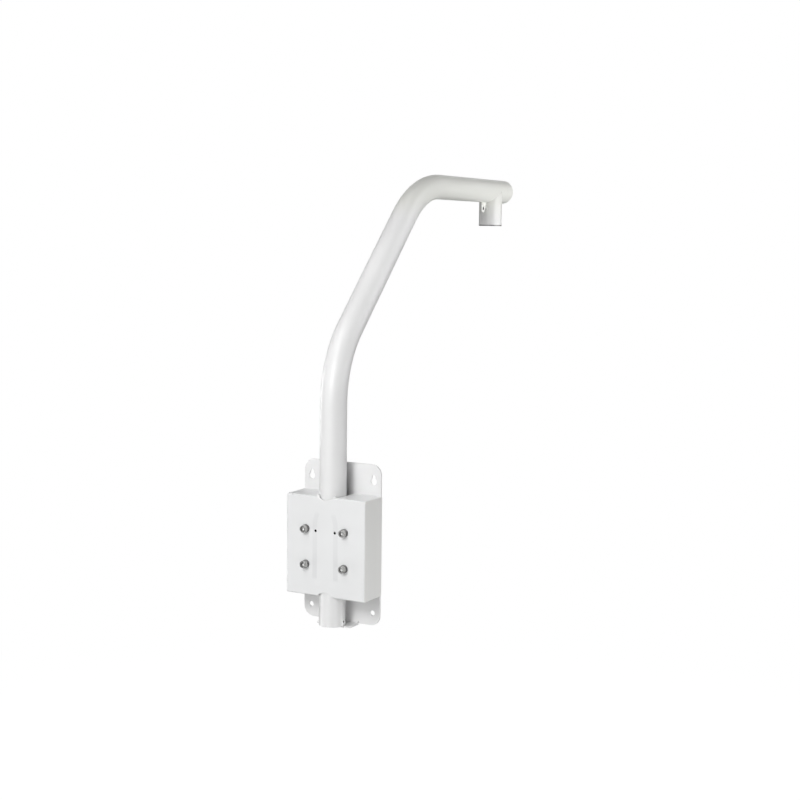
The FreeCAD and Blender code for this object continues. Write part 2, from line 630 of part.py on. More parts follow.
# ---------------------------------------------------------------------------------------------------------
# safety_eye: a small lug plate in the corner between arm and coupling, with a hole for a safety rope
# ---------------------------------------------------------------------------------------------------------
body = new_body("safety_eye")
wall_y = drop_at - D.coupling_rad
under_z = arm_up - D.tube_rad
sk = sketch(body, "eye_outline", "YZ_Plane")
ring_y = wall_y - D.eye_hole_out + D.eye_ring                  # the eye's side towards the coupling
polygon(sk, [(wall_y - D.eye_out, under_z + 3), (wall_y - D.eye_out, under_z - D.eye_low),
             (ring_y, under_z - D.eye_low), (ring_y, under_z - D.eye_hole_down),
             (wall_y + 3, under_z - D.eye_hole_down), (wall_y + 3, under_z + 3)])
f = pad(body, sk, "eye_plate", D.eye_thick, both=True)
f = fillet(body, f, "eye_corner_round", D.eye_corner,
           lambda e: straight(e, "x") and near(mid(e).z, under_z - D.eye_low), 2)
sk = sketch(body, "eye_coupling_outline", "XY_Plane", under_z)
circle(sk, 0, drop_at, D.coupling_rad)
f = pocket(body, sk, "eye_against_coupling", both=True)
sk = sketch(body, "eye_arm_outline", "XZ_Plane")
circle(sk, 0, arm_up, D.tube_rad)
f = pocket(body, sk, "eye_against_arm", both=True)
sk = sketch(body, "eye_hole_outline", "YZ_Plane")
circle(sk, wall_y - D.eye_hole_out, under_z - D.eye_hole_down, D.eye_hole_rad)
f = pocket(body, sk, "eye_hole", both=True)
parts.append(body)

# ---------------------------------------------------------------------------------------------------------
# check every object, then write one file for each sub-part
# ---------------------------------------------------------------------------------------------------------
doc.recompute()
for obj in doc.Objects:
    if "Invalid" in obj.State or "Error" in obj.State:
        raise RuntimeError("%s (%s) failed: %s" % (obj.Name, obj.Label, obj.State))
for part in parts:
    shape = part.Shape
    if shape.isNull() or not shape.isValid() or not shape.Solids:
        raise RuntimeError("%s has no valid solid" % part.Label)
for part in parts:
    shape = part.Shape
    box = shape.BoundBox
    print("%-18s solids %d volume %9.1f  X %8.2f %8.2f  Y %8.2f %8.2f  Z %8.2f %8.2f" % (
        part.Label, len(shape.Solids), shape.Volume, box.XMin, box.XMax, box.YMin, box.YMax, box.ZMin, box.ZMax))
    shape.exportStep(os.path.join("parts", part.Label + ".step"))
print("nodes", len(parts), "solids", sum(len(p.Shape.Solids) for p in parts))
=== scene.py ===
import bpy
import bmesh
import math
from mathutils import Vector, Matrix


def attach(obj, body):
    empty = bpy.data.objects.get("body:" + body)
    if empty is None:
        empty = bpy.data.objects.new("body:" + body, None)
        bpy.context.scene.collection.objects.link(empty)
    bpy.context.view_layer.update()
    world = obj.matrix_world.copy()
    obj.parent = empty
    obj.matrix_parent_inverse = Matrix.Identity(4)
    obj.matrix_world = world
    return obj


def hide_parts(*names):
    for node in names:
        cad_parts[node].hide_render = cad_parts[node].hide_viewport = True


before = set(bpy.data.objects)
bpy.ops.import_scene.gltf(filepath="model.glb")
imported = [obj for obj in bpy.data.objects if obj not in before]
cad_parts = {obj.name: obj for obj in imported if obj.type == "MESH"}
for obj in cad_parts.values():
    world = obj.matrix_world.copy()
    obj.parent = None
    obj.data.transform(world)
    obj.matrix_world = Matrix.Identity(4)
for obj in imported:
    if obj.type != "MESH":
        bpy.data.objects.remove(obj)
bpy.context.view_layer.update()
MM = 0.001
TAU = 2 * math.pi

# -----------------------------------------------------------------------------------------------------------
# sizes, in millimetres, as the construction has them
# -----------------------------------------------------------------------------------------------------------
TUBE_R, TUBE_IN = 30.0, 27.0
MAST_Y, FOOT_Z, UP_TOP = -44.0, -182.3, 314.5
BEND_R, LEAN, LEAN_LONG, ARM_LONG = 240.0, math.radians(44.0), 354.0, 369.1
C1 = (MAST_Y + BEND_R, UP_TOP)
P1 = (C1[0] - BEND_R * math.cos(LEAN), UP_TOP + BEND_R * math.sin(LEAN))
P2 = (P1[0] + LEAN_LONG * math.sin(LEAN), P1[1] + LEAN_LONG * math.cos(LEAN))
C2 = (P2[0] + BEND_R * math.cos(LEAN), P2[1] - BEND_R * math.sin(LEAN))
ARM_Z, ARM_FROM = C2[1] + BEND_R, C2[0]
ARM_TO = ARM_FROM + ARM_LONG
ARM_END = ARM_TO + 3.0
DROP_Y = ARM_END - 75.0
DROP_Z = ARM_Z - 90.6
FOOT_HOLE = 10.2
RIM_HIGH = 2.3


# -----------------------------------------------------------------------------------------------------------
# camera at the photograph's viewing angle
# -----------------------------------------------------------------------------------------------------------
def make_camera():
    yaw, pitch, roll = math.radians(29.81), math.radians(6.30), math.radians(-0.60)
    back = Vector((math.sin(yaw) * math.cos(pitch), -math.cos(yaw) * math.cos(pitch), math.sin(pitch)))
    where = Vector((117.46, -44.0, 330.9)) + back * 3134.37
    right = (-back).cross(Vector((0, 0, 1))).normalized()
    down = (-back).cross(right)
    x2 = math.cos(roll) * right + math.sin(roll) * down
    y2 = -math.sin(roll) * right + math.cos(roll) * down
    cam = bpy.data.cameras.new("camera")
    cam.sensor_width = 36.0
    cam.sensor_fit = "HORIZONTAL"
    cam.lens = 36.0 * 1444.56 / 800
    cam.shift_x = (400 - 379.8) / 800
    cam.shift_y = (400.8 - 400) / 800
    cam.clip_end = 100.0
    obj = bpy.data.objects.new("camera", cam)
    bpy.context.scene.collection.objects.link(obj)
    m = Matrix((x2, -y2, back)).transposed().to_4x4()
    m.translation = where * MM
    obj.matrix_world = m
    bpy.context.scene.camera = obj


make_camera()


# -----------------------------------------------------------------------------------------------------------
# materials
# -----------------------------------------------------------------------------------------------------------
class Nodes:
    """A short way to write a material's nodes."""

    def __init__(self, mat):
        mat.use_nodes = True
        self.tree = mat.node_tree
        self.tree.nodes.clear()
        self.out = self.tree.nodes.new("ShaderNodeOutputMaterial")

    def add(self, kind, **inputs):
        n = self.tree.nodes.new("ShaderNode" + kind)
        for key, value in inputs.items():
            if key.startswith("_"):
                setattr(n, key[1:], value)
                continue
            socket = n.inputs[int(key[1:])] if key[0] == "i" and key[1:].isdigit() else n.inputs[key.replace("_", " ")]
            if isinstance(value, bpy.types.NodeSocket):
                self.tree.links.new(value, socket)
            else:
                socket.default_value = value
        return n

    def link(self, a, b):
        self.tree.links.new(a, b)

    def math(self, op, a, b=0.0, c=None, clamp=False):
        n = self.tree.nodes.new("ShaderNodeMath")
        n.operation = op
        n.use_clamp = clamp
        for k, v in enumerate((a, b) if c is None else (a, b, c)):
            if isinstance(v, bpy.types.NodeSocket):
                self.link(v, n.inputs[k])
            else:
                n.inputs[k].default_value = v
        return n.outputs[0]

    def mix(self, factor, a, b):
        n = self.tree.nodes.new("ShaderNodeMix")
        n.data_type = "RGBA"
        for socket, v in ((n.inputs[0], factor), (n.inputs[6], a), (n.inputs[7], b)):
            if isinstance(v, bpy.types.NodeSocket):
                self.link(v, socket)
            else:
                socket.default_value = v
        return n.outputs[2]

    def ramp(self, value, lo, hi, a=0.0, b=1.0, smooth=True):
        n = self.tree.nodes.new("ShaderNodeMapRange")
        n.interpolation_type = "SMOOTHSTEP" if smooth else "LINEAR"
        self.link(value, n.inputs[0])
        for k, v in ((1, lo), (2, hi), (3, a), (4, b)):
            n.inputs[k].default_value = v
        return n.outputs[0]


def powder_coat(name, white=(0.80, 0.80, 0.80), rough=0.33, stripes=False, warm=False):
    """White satin powder coat: a fine orange peel with gloss following it, a slow wander of tone and fine specks."""
    mat = bpy.data.materials.new(name)
    n = Nodes(mat)
    place = n.add("TexCoord").outputs["Object"]
    slow = n.add("TexNoise", Vector=place, Scale=9.0, Detail=2.0, Roughness=0.5).outputs[0]
    peel = n.add("TexNoise", Vector=place, Scale=520.0, Detail=3.0, Roughness=0.55).outputs[0]
    grain = n.add("TexNoise", Vector=place, Scale=2400.0, Detail=2.0, Roughness=0.6).outputs[0]
    tone = n.ramp(slow, 0.3, 0.7)
    a = tuple(c * 0.985 for c in white) + (1,)
    b = tuple(min(1, c * 1.012) for c in white) + (1,)
    colour = n.mix(tone, a, b)
    if warm:
        # the level arm and what hangs from it are a little creamier than the upright
        high = n.ramp(n.add("SeparateXYZ", Vector=place).outputs[2], 0.715, 0.785)
        colour = n.mix(n.math("MULTIPLY", high, 1.0), colour, tuple(c * k for c, k in zip(white, (0.997, 1.002, 0.957))) + (1,))
    speck = n.ramp(grain, 0.62, 0.80, 0.0, 0.05)
    colour = n.mix(speck, colour, tuple(c * 0.8 for c in white) + (1,))
    height = n.math("ADD", n.math("MULTIPLY", peel, 1.0), n.math("MULTIPLY", grain, 0.25))
    if stripes:
        # two upright bands over the rails behind the sheet: the coat is a shade greyer there, with a shallow dip in the
        # bump.
        # Their upper ends turn inward, they are strongest near the lower ends, and just below those a faint painted
        # sheen lightens the coat.
        sep = n.add("SeparateXYZ", Vector=place)
        x, y, z = sep.outputs
        front = n.ramp(y, -0.0755, -0.0750, 1.0, 0.0)
        wobble = n.math("MULTIPLY", n.math("SUBTRACT", slow, 0.5), 0.003)
        turn = n.ramp(z, 0.050, 0.078, 0.0, 0.0062)
        across = n.math("ADD", n.math("ADD", n.math("ABSOLUTE", x), wobble), turn)
        bell = n.math("MULTIPLY", n.ramp(across, 0.0195, 0.0225), n.ramp(across, 0.0310, 0.0350, 1.0, 0.0))
        tall = n.math("MULTIPLY", n.ramp(z, -0.0775, -0.0700), n.ramp(z, 0.068, 0.080, 1.0, 0.0))
        level = n.ramp(z, -0.060, 0.020, 1.0, 0.62)
        band = n.math("MULTIPLY", n.math("MULTIPLY", bell, tall), n.math("MULTIPLY", level, front))
        colour = n.mix(n.math("MULTIPLY", band, 0.075), colour, (0.0, 0.0, 0.03, 1))
        # a faint painted sheen just below the bands' lower ends, lightening the coat
        side = n.math("ABSOLUTE", n.math("SUBTRACT", n.math("ABSOLUTE", x), 0.019))
        painted_sheen = n.math("MULTIPLY", n.ramp(side, 0.003, 0.011, 1.0, 0.0),
                      n.ramp(n.math("ABSOLUTE", n.math("ADD", z, 0.0835)), 0.002, 0.009, 1.0, 0.0))
        painted_sheen = n.math("MULTIPLY", painted_sheen, front)
        colour = n.mix(n.math("MULTIPLY", painted_sheen, 0.05), colour, (1.0, 1.0, 1.0, 1))
        height = n.math("ADD", height, n.math("MULTIPLY", band, -1.2))
        # the folded sides are a touch creamier than the front
        flank = n.ramp(n.math("ABSOLUTE", x), 0.1005, 0.1018)
        colour = n.mix(flank, colour, (0.800, 0.801, 0.786, 1))
    bump = n.add("Bump", Strength=0.22, Distance=0.00012, Height=height).outputs[0]
    gloss = n.ramp(peel, 0.3, 0.7, rough - 0.03, rough + 0.04)
    bsdf = n.add("BsdfPrincipled", Base_Color=colour, Roughness=gloss, Normal=bump)
    bsdf.inputs["Specular IOR Level"].default_value = 0.5
    n.link(bsdf.outputs[0], n.out.inputs[0])
    return mat


def stainless(name, base=(0.60, 0.59, 0.575), rough=0.27, metallic=1.0):
    """Machined stainless steel with fine turning marks and small stains."""
    mat = bpy.data.materials.new(name)
    n = Nodes(mat)
    place = n.add("TexCoord").outputs["Object"]
    blotch = n.add("TexNoise", Vector=place, Scale=260.0, Detail=3.0, Roughness=0.6).outputs[0]
    fine = n.add("TexNoise", Vector=place, Scale=3800.0, Detail=2.0, Roughness=0.6).outputs[0]
    lay = n.add("VectorMath", _operation="MULTIPLY", i0=place, i1=(1.0, 6.0, 1.0)).outputs[0]
    turned = n.add("TexNoise", Vector=lay, Scale=1500.0, Detail=2.0, Roughness=0.5).outputs[0]
    dark = tuple(c * 0.80 for c in base) + (1,)
    light = tuple(c * 1.06 for c in base) + (1,)
    colour = n.mix(n.ramp(blotch, 0.35, 0.65), dark, light)
    gloss = n.ramp(turned, 0.3, 0.7, rough - 0.05, rough + 0.09)
    height = n.math("ADD", n.math("MULTIPLY", turned, 0.7), n.math("MULTIPLY", fine, 0.4))
    bump = n.add("Bump", Strength=0.25, Distance=0.00004, Height=height).outputs[0]
    bsdf = n.add("BsdfPrincipled", Base_Color=colour, Roughness=gloss, Normal=bump)
    bsdf.inputs["Metallic"].default_value = metallic
    n.link(bsdf.outputs[0], n.out.inputs[0])
    return mat


def bare_steel(name, base=(0.30, 0.295, 0.285), rough=0.45, metallic=0.9, shine=0.5):
    """Steel that the coat did not reach, dark and a little blotched: the machined rim and thread as they are; inside
    the tube and bores it is darkened further as painted shade, and in tapped holes it is near black, painted shade.
    """
    mat = bpy.data.materials.new(name)
    n = Nodes(mat)
    place = n.add("TexCoord").outputs["Object"]
    blotch = n.add("TexNoise", Vector=place, Scale=70.0, Detail=4.0, Roughness=0.6).outputs[0]
    fine = n.add("TexNoise", Vector=place, Scale=1800.0, Detail=2.0, Roughness=0.6).outputs[0]
    dark = tuple(c * 0.72 for c in base) + (1,)
    light = tuple(c * 1.15 for c in base) + (1,)
    colour = n.mix(n.ramp(blotch, 0.35, 0.65), dark, light)
    gloss = n.ramp(blotch, 0.3, 0.7, rough - 0.06, rough + 0.1)
    bump = n.add("Bump", Strength=0.3, Distance=0.00008, Height=n.math("ADD", fine, blotch)).outputs[0]
    bsdf = n.add("BsdfPrincipled", Base_Color=colour, Roughness=gloss, Normal=bump)
    bsdf.inputs["Metallic"].default_value = metallic
    bsdf.inputs["Specular IOR Level"].default_value = shine
    n.link(bsdf.outputs[0], n.out.inputs[0])
    return mat


COAT = powder_coat("coat_satin")
COAT_MAST = powder_coat("coat_satin_mast", warm=True)
COAT_COVER = powder_coat("coat_satin_cover", white=(0.796, 0.801, 0.804), stripes=True)
COAT_WELD = powder_coat("coat_weld", white=(0.79, 0.79, 0.79), rough=0.30, warm=True)
# a whiter, glossier coat for one weld end: a painted highlight at the notch's left corner
COAT_PAINTED_HIGHLIGHT = powder_coat("coat_weld_painted_highlight", white=(0.92, 0.92, 0.915), rough=0.28)
STEEL = stainless("stainless_screw_sides", base=(0.52, 0.515, 0.505), rough=0.24)
STEEL_FACE = stainless("stainless_screw_faces", base=(0.49, 0.49, 0.485), rough=0.33)
# socket walls far darker than stainless is: painted shade inside the hexagon socket
STEEL_SOCKET_PAINTED_SHADE = stainless("stainless_socket_walls_painted_shade", base=(0.20, 0.20, 0.20), rough=0.35)
# socket floor near white: a painted highlight at the bottom of the socket
STEEL_FLOOR_PAINTED_HIGHLIGHT = stainless("stainless_socket_floor_painted_highlight", base=(0.95, 0.95, 0.94), rough=0.4, metallic=0.25)
# both washers far darker than stainless is: painted shade round the screw heads
STEEL_WASHER_PAINTED_SHADE = stainless("stainless_washers_painted_shade", base=(0.11, 0.11, 0.11), rough=0.28)
STEEL_SPRING_PAINTED_SHADE = stainless("stainless_spring_washers_painted_shade", base=(0.20, 0.20, 0.20), rough=0.30)
# near black: painted shade in the tapped lock holes and the foot's cross hole
TAPPED_PAINTED_SHADE = bare_steel("tapped_steel_painted_shade", base=(0.009, 0.009, 0.009), rough=0.6, metallic=0.0, shine=0.1)
# uncoated steel inside the tube and bores, darker than bare steel is: partly painted shade
INSIDE_STEEL_AND_SHADE = bare_steel("tube_inside_bare_steel_and_painted_shade", base=(0.16, 0.155, 0.15), rough=0.5)
RIM = bare_steel("machined_rim", base=(0.26, 0.26, 0.255), rough=0.34)


# -----------------------------------------------------------------------------------------------------------
# mesh helpers
# -----------------------------------------------------------------------------------------------------------
def make(name, verts, faces, mats, body, picks=None, sharp=38.0):
    """A mesh object from points in millimetres. With several materials, picks says which one each face takes."""
    me = bpy.data.meshes.new(name)
    me.from_pydata([(x * MM, y * MM, z * MM) for x, y, z in verts], [], faces)
    for m in mats if isinstance(mats, (list, tuple)) else [mats]:
        me.materials.append(m)
    if picks:
        me.polygons.foreach_set("material_index", picks)
    obj = bpy.data.objects.new(name, me)
    bpy.context.scene.collection.objects.link(obj)
    shade(me, sharp)
    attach(obj, body)
    return obj


def shade(me, sharp=38.0):
    """Smooth shading with the corners kept, each corner's normal weighted by face area so that flats stay flat."""
    bm = bmesh.new()
    bm.from_mesh(me)
    bm.normal_update()
    limit = math.cos(math.radians(sharp))
    area = [f.calc_area() for f in bm.faces]
    normal = [f.normal.copy() for f in bm.faces]
    out = []
    for f in bm.faces:
        for lo in f.loops:
            total = Vector((0, 0, 0))
            for g in lo.vert.link_faces:
                if normal[g.index].dot(normal[f.index]) >= limit:
                    total += normal[g.index] * area[g.index]
            out.append(total.normalized() if total.length > 1e-12 else normal[f.index])
    bm.free()
    for p in me.polygons:
        p.use_smooth = True
    me.normals_split_custom_set([tuple(v) for v in out])


def tidy(obj, sharp, merge=1e-7):
    """Merge doubled points, turn every face outward and shade."""
    bm = bmesh.new()
    bm.from_mesh(obj.data)
    bmesh.ops.remove_doubles(bm, verts=bm.verts, dist=merge)
    bmesh.ops.recalc_face_normals(bm, faces=bm.faces)
    bm.to_mesh(obj.data)
    bm.free()
    shade(obj.data, sharp)
    return obj


def grid(rings, closed_u=True, closed_v=False, flip=False):
    """Faces for rings of equal length, ring i joined to ring i + 1."""
    n, m = len(rings[0]), len(rings)
    verts = [p for r in rings for p in r]
    faces = []
    for i in range(m if closed_v else m - 1):
        a, b = i * n, ((i + 1) % m) * n
        for j in range(n if closed_u else n - 1):
            k = (j + 1) % n
            q = (a + j, a + k, b + k, b + j)
            faces.append(q[::-1] if flip else q)
    return verts, faces


def path_at(d):
    """Centre, tangent and outward normal in the mast's plane, at arc length d along the mast, as (y, z) pairs."""
    runs = [("l", UP_TOP - FOOT_Z), ("a", BEND_R * LEAN), ("l", LEAN_LONG), ("a", BEND_R * (math.pi / 2 - LEAN)),
            ("l", ARM_LONG)]
    if d <= runs[0][1]:
        return (MAST_Y, FOOT_Z + d), 0.0
    d -= runs[0][1]
    if d <= runs[1][1]:
        t = d / BEND_R
        return (C1[0] - BEND_R * math.cos(t), C1[1] + BEND_R * math.sin(t)), t
    d -= runs[1][1]
    if d <= LEAN_LONG:
        return (P1[0] + d * math.sin(LEAN), P1[1] + d * math.cos(LEAN)), LEAN
    d -= LEAN_LONG
    if d <= runs[3][1]:
        t = LEAN + d / BEND_R
        return (C2[0] - BEND_R * math.cos(t), C2[1] + BEND_R * math.sin(t)), t
    d -= runs[3][1]
    return (ARM_FROM + d, ARM_Z), math.pi / 2


MAST_LONG = (UP_TOP - FOOT_Z) + BEND_R * math.pi / 2 + LEAN_LONG + ARM_LONG


def ring_at(d, r, count, shift=0.0):
    """A ring of points round the mast at arc length d."""
    (cy, cz), t = path_at(d)
    cy, cz = cy + shift * math.sin(t), cz + shift * math.cos(t)
    # e1 is +X, e2 lies in the mast's plane, square to the tangent
    e2 = (math.cos(t), -math.sin(t))
    pts = []
    for j in range(count):
        a = TAU * j / count
        c, s = math.cos(a), math.sin(a)
        pts.append((r * c, cy + r * s * e2[0], cz + r * s * e2[1]))
    return pts


def boolean_cut(obj, cutters):
    """Cut solids out of a mesh and keep the result as its mesh."""
    for k, c in enumerate(cutters):
        mod = obj.modifiers.new("cut%d" % k, "BOOLEAN")
        mod.operation = "DIFFERENCE"
        mod.solver = "EXACT"
        mod.object = c
    deps = bpy.context.evaluated_depsgraph_get()
    new = bpy.data.meshes.new_from_object(obj.evaluated_get(deps))
    obj.modifiers.clear()
    old = obj.data
    obj.data = new
    bpy.data.meshes.remove(old)
    for c in cutters:
        data = c.data
        bpy.data.objects.remove(c)
        bpy.data.meshes.remove(data)
    return obj


def rod(p, q, r, count=48):
    """A plain cylinder from p to q, in millimetres, used only to cut with."""
    p, q = Vector(p), Vector(q)
    axis = (q - p).normalized()
    side = axis.cross(Vector((0, 0, 1)) if abs(axis.z) < 0.9 else Vector((1, 0, 0))).normalized()
    up = axis.cross(side)
    verts, faces = [], []
    for end in (p, q):
        for j in range(count):
            a = TAU * j / count
            verts.append(tuple((end + side * (r * math.cos(a)) + up * (r * math.sin(a))) * MM))
    for j in range(count):
        k = (j + 1) % count
        faces.append((j, k, count + k, count + j))
    faces.append(tuple(range(count))[::-1])
    faces.append(tuple(range(count, 2 * count)))
    me = bpy.data.meshes.new("cutter")
    me.from_pydata(verts, [], faces)
    obj = bpy.data.objects.new("cutter", me)
    bpy.context.scene.collection.objects.link(obj)
    return obj


def bead(name, points, radius, body, closed=True, sides=10, ripple=0.10, pitch=2.2, ends=0.6, flat=None):
    """A weld bead along points (millimetres): a round cord whose thickness ripples as a hand-laid weld does.
    radius is a number, or a function of the share 0 to 1 along the bead."""
    pts = [Vector(p) for p in points]
    n = len(pts)
    lengths = [0.0]
    for i in range(1, n):
        lengths.append(lengths[-1] + (pts[i] - pts[i - 1]).length)
    total = lengths[-1] + ((pts[0] - pts[-1]).length if closed else 0)
    rings = []
    side = None
    for i in range(n):
        a, b = pts[i - 1] if (closed or i) else pts[i], pts[(i + 1) % n] if (closed or i < n - 1) else pts[i]
        t = (b - a).normalized()
        if side is None:
            side = t.cross(Vector((0.3, 0.5, 0.8))).normalized()
        side = (side - t * side.dot(t)).normalized()
        up = t.cross(side)
        share = lengths[i] / total
        r = radius(share) if callable(radius) else radius
        turns = max(1, round(total / pitch))
        phase = (share * turns) % 1.0
        r *= 1 - ripple + ripple * (1 - (2 * phase - 1) ** 2) * 2
        if not closed:
            edge = min(lengths[i], total - lengths[i])
            if edge < r * ends:
                r *= math.sqrt(max(0.04, 1 - (1 - edge / (r * ends)) ** 2))
        rings.append([tuple(pts[i] + side * (r * math.cos(TAU * j / sides)) + up * (r * math.sin(TAU * j / sides)))
                      for j in range(sides)])
    if closed:
        # turn the last ring's start to meet the first one's
        first = Vector(rings[0][0])
        best = min(range(sides), key=lambda j: (Vector(rings[-1][j]) - first).length)
        verts, faces = grid(rings)
        a, b = (n - 1) * sides, 0
        for j in range(sides):
            k = (j + 1) % sides
            faces.append((a + (j + best) % sides, a + (k + best) % sides, b + k, b + j))
    else:
        verts, faces = grid(rings)
        faces.append(tuple(range(sides))[::-1])
        faces.append(tuple(range((n - 1) * sides, n * sides)))
    return tidy(make(name, verts, faces, COAT_WELD, body), 80)


def refine(node, mat, width=0.35, angle=35.0, segments=2, body="wall_bracket", name=None):
    """The CAD piece's own shape with its sharp edges broken, as the coat leaves them."""
    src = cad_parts[node]
    me = src.data.copy()
    me.name = name or node + "_coated"
    bm = bmesh.new()
    bm.from_mesh(me)
    bmesh.ops.remove_doubles(bm, verts=bm.verts, dist=2e-6)
    bmesh.ops.dissolve_limit(bm, angle_limit=math.radians(0.35), verts=bm.verts, edges=bm.edges)
    bm.normal_update()
    limit = math.radians(angle)
    sharp = [e for e in bm.edges if len(e.link_faces) == 2 and e.calc_face_angle(0.0) > limit]
    bmesh.ops.bevel(bm, geom=sharp, offset=width * MM, offset_type="OFFSET", segments=segments, profile=0.5,
                    affect="EDGES", clamp_overlap=True)
    bmesh.ops.remove_doubles(bm, verts=bm.verts, dist=1e-7)
    bm.to_mesh(me)
    bm.free()
    me.materials.clear()
    me.materials.append(mat)
    obj = bpy.data.objects.new(me.name, me)
    bpy.context.scene.collection.objects.link(obj)
    shade(me, 50)
    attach(obj, body)
    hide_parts(node)
    return obj


# -----------------------------------------------------------------------------------------------------------
# the mast: one bent tube, open at its foot, with eased rims
# -----------------------------------------------------------------------------------------------------------
def mast():
    count = 96
    stations = [0.9]
    d = 0.9
    while d < 26:
        d += 1.6
        stations.append(d)
    up = UP_TOP - FOOT_Z
    k = math.ceil((up - d) / 12)
    stations += [d + (up - d) * (i + 1) / k for i in range(k)]
    at = up
    for kind, long_ in (("a", BEND_R * LEAN), ("l", LEAN_LONG), ("a", BEND_R * (math.pi / 2 - LEAN)), ("l", ARM_LONG)):
        step = 6.0 if kind == "a" else 12.0
        k = math.ceil(long_ / step)
        stations += [at + long_ * (i + 1) / k for i in range(k)]
        at += long_
    stations[-1] = MAST_LONG - 0.02
    rings = [ring_at(0.0, TUBE_R - 0.75, count), ring_at(0.0, TUBE_R - 0.45, count, 0.07),
             ring_at(0.0, TUBE_R - 0.13, count, 0.38)]
    rings += [ring_at(s, TUBE_R, count) for s in stations]
    rings += [ring_at(s, TUBE_IN, count) for s in reversed(stations)]
    rings += [ring_at(0.0, TUBE_IN + 0.12, count, 0.38), ring_at(0.0, TUBE_IN + 0.42, count, 0.07),
              ring_at(0.0, TUBE_IN + 0.7, count)]
    verts, faces = grid(rings, closed_v=True)
    obj = make("mast_tube_coated", verts, faces, COAT_MAST, "mast")
    bm = bmesh.new()
    bm.from_mesh(obj.data)
    bmesh.ops.recalc_face_normals(bm, faces=bm.faces)
    bm.to_mesh(obj.data)
    bm.free()
    boolean_cut(obj, [rod((-40, MAST_Y, FOOT_Z + FOOT_HOLE), (40, MAST_Y, FOOT_Z + FOOT_HOLE), 2.5, 40),
                      rod((0, DROP_Y, ARM_Z - 36), (0, DROP_Y, ARM_Z - 10), 19.0, 96)])
    mast_normals(obj)
    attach(obj, "mast")
    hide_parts("mast_tube")
    return obj


def nearest_centre(y, z):
    """The nearest point of the mast's centre line to (y, z)."""
    best = None

    def offer(cy, cz):
        nonlocal best
        d = (cy - y) ** 2 + (cz - z) ** 2
        if best is None or d < best[0]:
            best = (d, cy, cz)

    offer(MAST_Y, min(max(z, FOOT_Z - 5), UP_TOP))
    for (cy, cz), lo, hi in ((C1, 0.0, LEAN), (C2, LEAN, math.pi / 2)):
        t = math.atan2(z - cz, cy - y)
        t = min(max(t, lo), hi)
        offer(cy - BEND_R * math.cos(t), cz + BEND_R * math.sin(t))
    s, c = math.sin(LEAN), math.cos(LEAN)
    t = (y - P1[0]) * s + (z - P1[1]) * c
    t = min(max(t, 0), LEAN_LONG)
    offer(P1[0] + t * s, P1[1] + t * c)
    offer(min(max(y, ARM_FROM), ARM_END), ARM_Z)
    return best[1], best[2]


def mast_normals(obj):
    """Exact normals on the tube's walls, flat ones on rims and hole edges. Inside, the coat is missing and the dark
    steel is partly painted shade; the cross hole's wall is near black, painted shade.
    """
    me = obj.data
    me.materials.clear()
    for m in (COAT_MAST, INSIDE_STEEL_AND_SHADE, TAPPED_PAINTED_SHADE):
        me.materials.append(m)
    hole = Vector((0, MAST_Y, FOOT_Z + FOOT_HOLE)) * MM
    radial = []
    for v in me.vertices:
        x, y, z = (c / MM for c in v.co)
        cy, cz = nearest_centre(y, z)
        radial.append(Vector((x, y - cy, z - cz)).normalized())
    out = []
    for p in me.polygons:
        p.use_smooth = True
        for k in range(p.loop_start, p.loop_start + p.loop_total):
            r = radial[me.loops[k].vertex_index]
            dot = r.dot(p.normal)
            if dot > 0.93:
                out.append(tuple(r))
            elif dot < -0.93:
                out.append(tuple(-r))
            else:
                out.append(tuple(p.normal))
        far = p.center - hole
        lean = sum((radial[v] for v in p.vertices), Vector((0, 0, 0))).normalized().dot(p.normal)
        # the cross hole's wall takes the near-black steel: painted shade in the hole
        if abs(lean) < 0.5 and math.hypot(far.y, far.z) < 3.0 * MM:
            p.material_index = 2
        else:
            p.material_index = 1 if lean < -0.93 else 0
    me.normals_split_custom_set(out)


mast()


